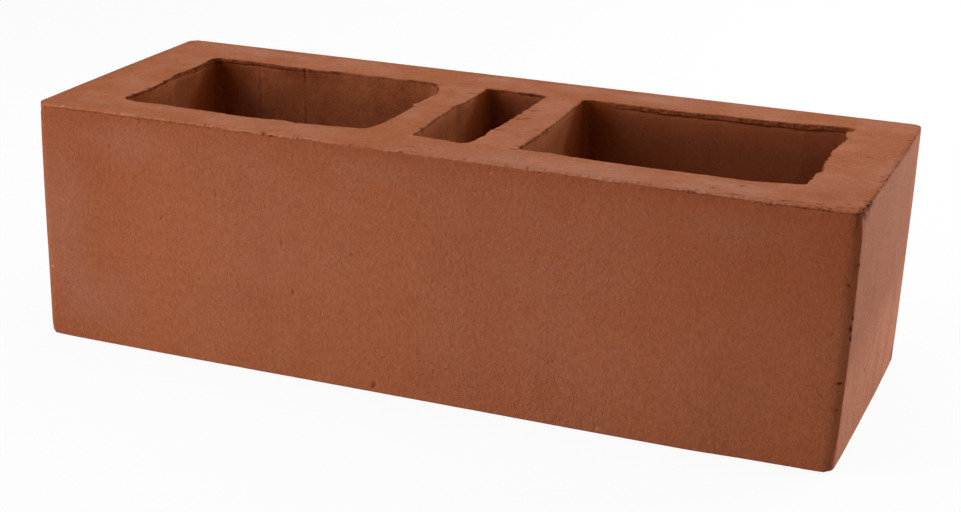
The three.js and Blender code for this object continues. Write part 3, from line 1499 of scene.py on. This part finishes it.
@dataclass
class Studio:
    """A plain pale floor, soft lamps and white surroundings. Metres and degrees."""

    ambient: float = 0.004
    floor_side: float = 14.0
    floor_drop: float = 0.0002
    floor_lit: float = 0.08  # share of the floor's look that its own light and shadow make
    floor_seen: Colour = (0.98, 0.98, 0.98)
    floor_bounce: Colour = (0.70, 0.69, 0.68)
    lamps: tuple[SoftBox, ...] = (
        SoftBox("front_softbox", turn=-24.0, rise=3.5, away=0.9, wide=0.5, tall=0.25, level=0.325),
        SoftBox("left_softbox", turn=-52.0, rise=19.0, away=0.9, wide=0.4, tall=0.8, level=0.57),
        SoftBox("top_softbox", turn=-60.0, rise=76.0, away=1.0, wide=1.0, tall=1.0, level=0.37),
        SoftBox("back_softbox", turn=175.0, rise=32.0, away=1.2, wide=1.0, tall=0.4, level=0.19),
        SoftBox("end_softbox", turn=148.0, rise=5.0, away=0.9, wide=0.5, tall=0.2, level=0.61),
        SoftBox("back_right_softbox", turn=140.0, rise=40.0, away=1.0, wide=0.5, tall=0.4, level=0.20),
        SoftBox("right_softbox", turn=95.0, rise=45.0, away=1.0, wide=0.4, tall=0.4, level=0.20),
    )

    def floor(self) -> bpy.types.Object:
        """Lays the floor just under the brick.

        Returns:
            The floor.
        """
        grid = bmesh.new()
        bmesh.ops.create_grid(grid, x_segments=1, y_segments=1, size=self.floor_side / 2)
        bmesh.ops.translate(grid, verts=grid.verts, vec=(0.0, 0.0, -self.floor_drop))
        mesh = bpy.data.meshes.new("studio_floor")
        grid.to_mesh(mesh)
        grid.free()
        sheet = bpy.data.objects.new("studio_floor", mesh)
        bpy.context.scene.collection.objects.link(sheet)
        mesh.materials.append(self.floor_material())
        return sheet

    def floor_material(self) -> bpy.types.Material:
        """Pale paper that shows nearly white and keeps a light shadow.

        Returns:
            The material, which is clear from below.
        """
        material = bpy.data.materials.new("studio_paper")
        material.use_nodes = True
        n = Nodes(material.node_tree)
        bounce = n.add("ShaderNodeBsdfDiffuse")
        bounce.inputs["Color"].default_value = (*self.floor_bounce, 1.0)
        lit = n.add("ShaderNodeBsdfDiffuse")
        lit.inputs["Color"].default_value = (*self.floor_seen, 1.0)
        white = n.add("ShaderNodeEmission")
        white.inputs["Color"].default_value = WHITE
        white.inputs["Strength"].default_value = 1.0
        look = self.mixed(n, self.floor_lit, white.outputs["Emission"], lit.outputs["BSDF"])
        paper = self.mixed(n, self.seen_directly(n), bounce.outputs["BSDF"], look)
        clear = n.add("ShaderNodeBsdfTransparent").outputs["BSDF"]
        behind = n.add("ShaderNodeNewGeometry").outputs["Backfacing"]
        out = n.add("ShaderNodeOutputMaterial")
        n.join(self.mixed(n, behind, paper, clear), out.inputs["Surface"])
        return material

    @staticmethod
    def mixed(n: Nodes, share: Value, first: Socket, second: Socket) -> Socket:
        """Mixes two shaders.

        Args:
            n: the tree.
            share: how much of the second shows.
            first: a shader.
            second: another one.

        Returns:
            The shader between them.
        """
        node = n.add("ShaderNodeMixShader")
        n.feed(node.inputs["Fac"], share)
        n.join(first, node.inputs[1])
        n.join(second, node.inputs[2])
        return node.outputs["Shader"]

    @staticmethod
    def seen_directly(n: Nodes) -> Socket:
        """1 for camera, glossy and transmission rays, and 0 for the rest.

        Args:
            n: the tree.

        Returns:
            A share of 0 or 1.
        """
        path = n.add("ShaderNodeLightPath")
        either = n.math("MAXIMUM", path.outputs["Is Camera Ray"], path.outputs["Is Glossy Ray"])
        return n.math("MAXIMUM", either, path.outputs["Is Transmission Ray"])

    def surroundings(self) -> None:
        """White all round for the camera, and a low even light on the brick."""
        world = bpy.data.worlds.new("white_room")
        bpy.context.scene.world = world
        world.use_nodes = True
        n = Nodes(world.node_tree)
        rooms: list[Socket] = []
        for strength in (self.ambient, 1.0):
            room = n.add("ShaderNodeBackground")
            room.inputs["Color"].default_value = WHITE
            room.inputs["Strength"].default_value = strength
            rooms.append(room.outputs["Background"])
        look = self.mixed(n, self.seen_directly(n), *rooms)
        n.join(look, n.add("ShaderNodeOutputWorld").inputs["Surface"])

    def build(self) -> None:
        """Sets the floor, the surroundings and the lamps."""
        self.floor()
        self.surroundings()
        for lamp in self.lamps:
            lamp.build()
        bpy.context.scene.view_settings.view_transform = "Standard"


@dataclass(frozen=True)
class Camera:
    """The camera, by its place and what it looks at. Metres, degrees and millimetres of lens."""

    place: Triple = (0.246474, -0.630375, 0.268056)
    aim: Triple = (-0.004873, -0.01318, 0.016252)
    roll: float = 1.204
    lens: float = 72.585
    shift: Pair = (0.0339, 0.0602)
    sensor: float = 36.0
    seen: Pair = (0.01, 50.0)  # nearest and farthest thing that shows

    def build(self) -> bpy.types.Object:
        """Makes the camera and gives it to the scene.

        Returns:
            The camera's object.
        """
        data = bpy.data.cameras.new("camera")
        data.lens = self.lens
        data.sensor_width = self.sensor
        data.shift_x, data.shift_y = self.shift
        data.clip_start, data.clip_end = self.seen
        camera = bpy.data.objects.new("camera", data)
        bpy.context.scene.collection.objects.link(camera)
        camera.location = self.place
        camera.rotation_mode = "QUATERNION"
        ahead = Vector(self.aim) - Vector(self.place)
        turn = Quaternion((0.0, 0.0, 1.0), math.radians(self.roll))
        camera.rotation_quaternion = ahead.to_track_quat("-Z", "Y") @ turn
        bpy.context.scene.camera = camera
        return camera


def opening_sides(low: Vector, high: Vector) -> tuple[float, float, float, float]:
    """Finds an opening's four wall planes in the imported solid.

    Args:
        low: lowest corner of the clear box that the record states for it, in metres.
        high: its highest corner.

    Returns:
        Left, right, front and back in millimetres.
    """
    search = 8.0 * MM  # how far outside the clear box a wall may lie
    foot, head = 0.3 * MM, 2.0 * MM  # the level at which the lower arris has ended
    corners = [
        v.co
        for v in frame["nodes"]["brick"].data.vertices
        if low.x - search < v.co.x < high.x + search and low.y - search < v.co.y < high.y + search
    ]
    upright = [c for c in corners if head > c.z > foot]
    xs = [c.x / MM for c in upright]
    ys = [c.y / MM for c in upright]
    return min(xs), max(xs), min(ys), max(ys)


def left_cell_rims() -> dict[Side, Rim]:
    """Rims of the left cell.

    Returns:
        One rim for each side.
    """
    return {
        Side.LEFT: Rim(
            bow=(
                (-40, 1.2), (-37, 0.1), (-34, -0.6), (-29, 0.2), (-22, 0.9), (-10, 0.2), (-4, -0.5),
                (1, -1.5), (10, -1.4), (17, -0.8), (24, -1.5), (34, -2.0),
            ),
            ledge=((-4, 0.5), (1, 1.2), (34, 1.5)),
            strip=((-4, 0.1), (1, 0.8), (34, 1.0)),
            undercut=((-24, 0.1), (-4, 0.15), (2, 0.4), (34, 0.3)),
            crack=0.9,
            teeth=0.3,
        ),
        Side.RIGHT: Rim(
            bow=(
                (-40, 2.8), (-36, 2.7), (-30, 1.1), (-26, 0.3), (20, 0.0), (25, 0.7), (29, 2.2),
                (33, 3.4),
            ),
            edge=(
                (-24, -0.1), (-12, -0.5), (-3, -0.5), (1, 0.3), (2.5, 1.1), (5, 0.1), (12, -0.1),
                (20, -0.6), (25, 0.0),
            ),
            teeth=0.25,
        ),
        Side.FRONT: Rim(
            bow=((-124, 1.4), (-120.5, 1.1), (-117, 0.0), (-40, 0.0), (-35, 1.6), (-30, 2.6)),
            edge=(
                (-117, -0.1), (-106, 0.5), (-98, -0.1), (-82, -0.6), (-76, -1.3), (-64, -0.8),
                (-58, 0.7), (-52, -0.6), (-46, 0.6), (-40, 1.0), (-34, 0.6),
            ),
            teeth=0.35,
        ),
        Side.BACK: Rim(
            bow=((-34, 0.0), (-32, 0.3), (-30, 1.8), (-26, 3.2)),
            edge=(
                (-120, 1.3), (-112, 1.0), (-106, 0.6), (-100, 1.4), (-94, 2.2), (-88, 1.5),
                (-82, 1.9), (-75, 1.0), (-70, 0.4), (-64, 1.0), (-58, 0.8), (-52, 0.0), (-45, 0.6),
                (-40, 0.2), (-33, -0.2),
            ),
            ledge=((-120, 1.2), (-88, 1.0), (-80, 0.6), (-30, 0.5)),
            strip=((-120, 1.0), (-90, 0.8), (-80, 0.2), (-30, 0.1)),
            undercut=((-122, 0.5), (-92, 0.45), (-76, 0.15), (-50, 0.1), (-28, 0.1)),
            crack=0.65,
            teeth=0.25,
        ),
    }


def middle_slot_rims() -> dict[Side, Rim]:
    """Rims of the slot between the cells.

    Returns:
        One rim for each side.
    """
    return {
        Side.LEFT: Rim(
            bow=((-34, 0.8), (-22, 0.4), (-14, -0.4), (8, -1.2), (13, 0.1), (34, 0.0)),
            crack=0.7,
            teeth=0.25,
        ),
        Side.RIGHT: Rim(
            edge=((-32, 1.3), (-24, 0.8), (-18, 1.8), (-12, 0.7), (0, 0.0), (30, -0.1)),
            steps=0.3,
            teeth=0.3,
        ),
        Side.FRONT: Rim(edge=((-7, 0.7), (-2, 0.1), (0, -0.4), (4, -0.1), (9, -1.4))),
        Side.BACK: Rim(
            edge=((-8, 0.2), (-3, -0.2), (3, 0.4), (9, 0.1), (12, 0.8)),
            ledge=((0, 0.6),),
            strip=((0, 0.3),),
            undercut=((-6, 0.1), (2, 0.1), (5, 0.3), (10, 0.3), (12, 0.1)),
            crack=0.7,
            teeth=0.15,
        ),
    }


def right_cell_rims() -> dict[Side, Rim]:
    """Rims of the right cell.

    Returns:
        One rim for each side.
    """
    return {
        Side.LEFT: Rim(
            bow=((-36, -0.1), (-20, 0.5), (0, 0.1), (20, -0.7), (36, -1.6)),
            teeth=0.12,
            worn=0.15,
            crack=0.75,
        ),
        Side.RIGHT: Rim(
            edge=(
                (-33, 0.0), (-20, 0.0), (-15, -1.3), (-9, 0.9), (3, 0.3), (9, 1.0), (15, 0.3),
                (21, 0.9), (27, -0.1), (31, 0.5), (34, 1.8), (38, 3.2),
            ),
            steps=0.7,
            teeth=0.35,
        ),
        Side.FRONT: Rim(
            edge=(
                (36, 1.1), (42, 1.4), (50, 0.2), (66, -0.4), (78, -0.8), (96, -0.3), (112, -0.7),
                (118, 0.7), (128, 3.1),
            ),
        ),
        Side.BACK: Rim(
            bow=(
                (31, 0.3), (40, 0.6), (50, 0.9), (60, 1.4), (72, 1.1), (82, -0.1), (100, -0.3),
                (112, -1.5), (118, -2.9), (124, -4.1), (130, -4.3),
            ),
            ledge=((31, 1.0), (44, 1.4), (100, 1.7), (130, 1.6)),
            strip=((31, 0.8), (44, 1.0), (130, 1.0)),
            undercut=((31, 0.15), (42, 0.2), (48, 0.5), (118, 0.55), (124, 0.3), (130, 0.2)),
            crack=0.4,
            teeth=0.2,
        ),
    }


def find_openings() -> list[Opening]:
    """The three openings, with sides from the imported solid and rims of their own.

    Returns:
        Left cell, middle slot and right cell.
    """
    drawn = {
        "left_cell": (left_cell_rims(), (2.0, 5.0, 5.0, 3.5)),
        "middle_slot": (middle_slot_rims(), (2.0, 6.0, 2.0, 2.0)),
        "right_cell": (right_cell_rims(), (2.0, 5.0, 2.0, 3.5)),
    }
    stated = {o["name"]: o["box_m"] for o in frame["record"]["physics"]["openings"]}
    found: list[Opening] = []
    for seed, (name, (rims, corners)) in enumerate(drawn.items()):
        low, high = (Vector(c) for c in stated[name])
        left, right, front, back = opening_sides(low, high)
        log.info("%s: x %.1f to %.1f, y %.1f to %.1f", name, left, right, front, back)
        found.append(Opening(name, Outline(left, right, front, back, corners), rims, seed))
    return found


def marks(face: Face, kind: Kind, *spots: tuple[float, ...]) -> list[Mark]:
    """Makes marks of one kind on one face.

    Args:
        face: where they lie.
        kind: what they are.
        spots: for each its two coordinates, length, width, depth, heading and strength.

    Returns:
        One mark for each spot.
    """
    return [
        Mark(face, (first, second), *size, heading, kind, strength)
        for first, second, *size, heading, strength in spots
    ]


def patches(face: Face, kind: Kind, *spots: tuple[float, ...]) -> list[Mark]:
    """Makes flat patches of colour that lie square on a face.

    Args:
        face: where they lie.
        kind: what they are.
        spots: for each its two coordinates, length, width and strength.

    Returns:
        One mark for each spot.
    """
    flat = ((*spread, 0.0, 0.0, strength) for *spread, strength in spots)
    return marks(face, kind, *flat)


def upper_pits() -> list[Mark]:
    """Pits in the upper bed face, and what wore off its right end's corner.

    Returns:
        The marks, in the order in which they are worked.
    """
    return [
        *marks(
            Face.TOP,
            Kind.PIT,
            (-23.6, -0.7, 1, 0.8, 0.6, 0, 0.75), (17.5, -0.4, 1.95, 0.55, 0.4, 20, 0.95),
            (19.5, 1.3, 2.05, 0.55, 0.4, 15, 0.95), (17.6, 12.8, 1.55, 0.55, 0.4, 10, 0.95),
            (16.3, -17.2, 1.95, 0.65, 0.5, 10, 0.95), (29.1, -33.6, 1.75, 0.55, 0.4, 15, 0.95),
            (29, -38.4, 1.75, 0.65, 0.5, 10, 0.95), (27.5, -11.6, 1.35, 0.5, 0.3, 10, 0.95),
            (31, -8.7, 0.9, 0.6, 0.4, 0, 0.75), (3.9, -51.4, 0.8, 0.6, 0.4, 0, 0.75),
            (-2.7, -51, 0.7, 0.6, 0.3, 0, 0.75), (-10.2, -27.1, 1.2, 0.6, 0.4, 30, 0.75),
            (-12.4, 26.6, 1.75, 0.55, 0.35, 10, 0.95), (-17.2, 17.4, 2.15, 0.5, 0.3, 10, 0.5),
            (134.2, -2.2, 1.55, 0.55, 0.35, 10, 0.65), (135.7, -8.6, 1.15, 0.6, 0.35, 10, 0.65),
            (140.3, 6.1, 1.35, 0.5, 0.3, 10, 0.65), (147.8, -15.9, 0.85, 0.65, 0.4, 0, 0.65),
            (148.5, -21.8, 0.85, 0.65, 0.4, 0, 0.65), (148.6, 33.8, 1.35, 0.65, 0.4, 10, 0.65),
            (148.2, -45.2, 1.35, 0.65, 0.4, 20, 0.65), (102.8, -52.2, 1.55, 0.65, 0.45, 20, 0.95),
            (111, -46, 1.55, 0.6, 0.4, 10, 0.95), (127.3, -55.6, 2.35, 0.6, 0.4, 10, 0.95),
            (142.7, -55.3, 1.55, 0.6, 0.4, 0, 0.65), (149, -54.1, 1.1, 0.6, 0.4, 0, 0.75),
            (149.6, -48.5, 2.2, 0.9, 0.8, 70, 0.6), (149, -52.3, 1.2, 0.8, 0.6, 30, 0.6),
            (146.5, -54.8, 1.6, 0.6, 0.5, 10, 0.75), (144.4, -50.6, 1.05, 0.65, 0.4, 20, 0.65),
        ),
        *marks(Face.RIGHT, Kind.WEAR, (-57.5, 88.5, 7, 6, 0.8, 0, 0.75)),
        *marks(
            Face.RIGHT,
            Kind.PIT,
            (-53, 87.3, 5, 2, 0.5, -16, 0.55), (-44, 88.6, 5, 1.2, 0.3, -8, 0.7),
        ),
        *marks(
            Face.TOP,
            Kind.PIT,
            (-124.4, -8.2, 1.3, 1, 0.7, -60, 1), (-124.4, -20.6, 1.3, 1, 0.7, -60, 1),
            (-124.6, -30.6, 1.2, 0.9, 0.6, -60, 0.9), (-123.6, -36, 1.6, 0.9, 0.6, -40, 0.8),
        ),
    ]


def front_pits() -> list[Mark]:
    """Worn left corners, and pits in the front and its right upright edge.

    Returns:
        The marks, in the order in which they are worked.
    """
    return [
        *marks(
            Face.FRONT,
            Kind.WEAR,
            (-149.2, 0.6, 2.2, 2.2, 0.6, 0, 0.75), (-149.2, 89.2, 2.6, 2.6, 0.9, 0, 0.75),
        ),
        *marks(
            Face.FRONT,
            Kind.PIT,
            (-119, 77, 0.8, 0.6, 0.3, 0, 0.35), (-122, 63.5, 0.9, 0.6, 0.3, 30, 0.32),
            (-98.2, 53.2, 1.05, 0.65, 0.45, 60, 0.32), (-103, 23.3, 0.85, 0.65, 0.45, 0, 0.32),
            (-139.8, 21.6, 0.95, 0.6, 0.35, 60, 0.32), (-76, 64.5, 1.25, 0.6, 0.45, 80, 0.32),
            (-80.3, 70.3, 0.65, 0.6, 0.3, 0, 0.32), (-65.1, 76.6, 0.65, 0.6, 0.3, 0, 0.32),
            (-49.8, 50.2, 1.15, 0.55, 0.4, 80, 0.28), (-45.4, 32.6, 1.35, 0.65, 0.5, 80, 0.32),
            (-22.6, 50, 0.75, 0.6, 0.35, 0, 0.32), (-5.4, 10.6, 0.75, 0.65, 0.4, 0, 0.32),
            (-4, 30, 0.65, 0.6, 0.3, 0, 0.32), (-13.7, 2.6, 1.5, 0.8, 0.5, 60, 0.6),
            (52.9, 23.5, 0.95, 0.65, 0.35, 60, 0.28), (107.1, 74.4, 0.85, 0.6, 0.3, 0, 0.25),
            (143.6, 27.4, 0.7, 0.6, 0.3, 0, 0.32), (142.7, 21.2, 0.65, 0.6, 0.35, 0, 0.32),
            (144.6, 48.6, 0.75, 0.6, 0.35, 0, 0.32), (149.3, 71.9, 1.2, 0.8, 0.6, 20, 0.9),
            (147.4, 65.4, 1.2, 0.5, 0.4, 120, 0.6), (149.3, 54, 1.1, 0.7, 0.6, 90, 0.9),
            (149, 50.4, 1.4, 0.8, 0.6, 90, 0.95), (149.3, 46.9, 1.3, 0.8, 0.6, 90, 0.95),
            (147.9, 32, 0.9, 0.7, 0.5, 0, 0.85), (147.9, 29.4, 0.5, 0.7, 0.3, 0, 0.4),
            (147.9, 22.6, 0.8, 0.6, 0.4, 80, 0.6), (-146.3, 52, 0.65, 0.6, 0.4, 0, 0.32),
            (-146.2, 35, 0.75, 0.65, 0.4, 0, 0.32), (-147, 20, 0.75, 0.6, 0.4, 0, 0.32),
        ),
    ]


def front_touches() -> list[Mark]:
    """Small pale chips of the front's edges, and dark touches.

    Returns:
        The marks, in the order in which they are worked.
    """
    return [
        *marks(
            Face.FRONT,
            Kind.CHIP,
            (-146.6, 27.3, 0.8, 0.6, 0.3, 0, 0.8), (-21.7, 25.6, 1, 0.35, 0.15, 80, 0.3),
            (69.6, 2, 1.2, 0.7, 0.3, 60, 0.6), (103.8, 0.9, 0.9, 0.5, 0.3, 0, 0.6),
            (28.4, 86.4, 1.2, 0.5, 0.2, 40, 0.45), (-87.4, 86.5, 0.8, 0.5, 0.2, 40, 0.45),
            (20.6, 83.4, 1.3, 0.3, 0.15, 60, 0.3),
        ),
        *marks(
            Face.TOP,
            Kind.CHIP,
            (-138.8, -57, 1, 0.5, 0.25, 0, 0.8), (-141.5, -57, 0.6, 0.4, 0.2, 0, 0.7),
        ),
        *marks(
            Face.FRONT,
            Kind.SMUDGE,
            (-130.6, 44.6, 1.6, 1.2, 0.1, 30, 0.22), (-128.4, 50, 3.2, 2, 0.1, 30, 0.13),
            (-131.5, 38, 1.8, 1.4, 0.1, 0, 0.12),
        ),
        *marks(Face.FRONT, Kind.SHADE, (17.2, 33, 30, 0.5, 0, 90, 0.35)),
    ]


def paler_patches() -> list[Mark]:
    """Parts of the front and the upper bed face that fired paler.

    Returns:
        The marks, in the order in which they are worked.
    """
    return [
        *patches(
            Face.FRONT,
            Kind.BLUSH,
            (-140, 45, 13, 34, 0.9), (-112, 80, 24, 9, 0.8), (-124, 18, 20, 14, 0.7),
            (-74, 22, 20, 13, 0.35), (-16, 82, 16, 6, 0.7), (42, 68, 15, 20, 0.75),
            (110, 79, 24, 7, 0.45), (30, 81, 14, 6, 0.5), (-70, 80, 14, 6, 0.4),
        ),
        *patches(
            Face.TOP,
            Kind.BLUSH,
            (-116, 49, 13, 6, 0.9), (-95, 48, 9, 6, 0.9), (-71, 51, 9, 4.5, 0.8),
            (-40, 49, 17, 6, 0.85), (-10, 49.5, 13, 6, 0.9), (22, 50, 15, 5.5, 0.8),
            (54, 48, 18, 7, 0.9), (80, 48, 13, 6, 0.5), (112, 42, 20, 2.5, 0.5),
            (-102, -45, 16, 4, 0.7), (-73, -44, 12, 3, 0.7), (-131, -48, 11, 7, 0.5),
            (70, -49, 24, 5, 0.4), (106, -48, 15, 5, 0.8), (23.5, 4, 6, 34, 0.35),
        ),
    ]


def edge_tears() -> list[Mark]:
    """Long tears where the cutting wire left the upper front edge.

    Returns:
        The marks, in the order in which they are worked.
    """
    return [
        *marks(
            Face.TOP,
            Kind.PIT,
            (111.5, -56.2, 3.6, 0.5, 0.3, 2, 0.7), (120.5, -56.4, 2.6, 0.45, 0.2, 2, 0.5),
            (132.2, -55.2, 3.2, 0.5, 0.3, 6, 0.7), (137.6, -54.7, 1.6, 0.5, 0.3, 6, 0.8),
        ),
    ]


def end_touches() -> list[Mark]:
    """Pits and dark touches of the right end face.

    Returns:
        The marks, in the order in which they are worked.
    """
    return [
        *marks(
            Face.RIGHT,
            Kind.PIT,
            (-17.5, 22.5, 1.5, 0.7, 0.25, -20, 0.6), (-22.5, 11.8, 1.35, 0.55, 0.25, -20, 0.4),
            (-30, 11.6, 1.15, 0.55, 0.25, -20, 0.3), (11.5, 17.2, 1.55, 0.6, 0.25, -20, 0.4),
        ),
        *marks(
            Face.RIGHT,
            Kind.SMUDGE,
            (39, 20.3, 1.4, 0.5, 0.1, -20, 0.45), (19.5, 65, 2.4, 0.9, 0.1, -20, 0.4),
            (33.5, 56, 3, 1.1, 0.1, -20, 0.4), (-2.5, 66.5, 4, 2, 0.1, -20, 0.28),
            (0, 61, 4, 1.6, 0.1, -20, 0.22), (35, 31.5, 4.5, 2.4, 0.1, -20, 0.28),
            (28, 80, 5, 2.8, 0.1, -20, 0.2), (50, 4, 5, 3.2, 0.3, -20, 0.5),
        ),
    ]


def darker_patches() -> list[Mark]:
    """Parts near the right end painted darker.

    Returns:
        The marks, in the order in which they are worked.
    """
    return [
        *patches(Face.TOP, Kind.SHADE, (138, -42, 13, 9, 0.7)),
        *patches(Face.RIGHT, Kind.SHADE, (-21, 50, 4, 17, 0.45), (17, 47, 5, 13, 0.6)),
    ]


def face_marks() -> list[Mark]:
    """Every mark on the outer faces, in the order in which they are worked.

    Returns:
        The marks.
    """
    return [
        *upper_pits(),
        *front_pits(),
        *front_touches(),
        *paler_patches(),
        *edge_tears(),
        *end_touches(),
        *darker_patches(),
    ]


def main() -> None:
    """Builds the camera, the studio and the brick."""
    logging.basicConfig(level=logging.INFO, format="%(name)s: %(message)s")
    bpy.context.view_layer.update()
    Camera().build()
    Studio().build()
    openings = find_openings()
    back_wall = openings[0].outline.back
    brick = ClayBrick(
        tools=[
            SlowWaves(),
            EndLean(),
            CrispUpright(),
            LowerFrontEdge(),
            OuterEdges(),
            *openings,
            DieLine(place=-105.9, wall=back_wall, ridge=0.4, groove=0.25, dark=0.22),
            DieLine(place=-85.7, wall=back_wall, ridge=0.12, groove=0.4, dark=0.35),
            *face_marks(),
        ]
    )
    brick.build(FiredClay())


if __name__ == "__main__":
    main()
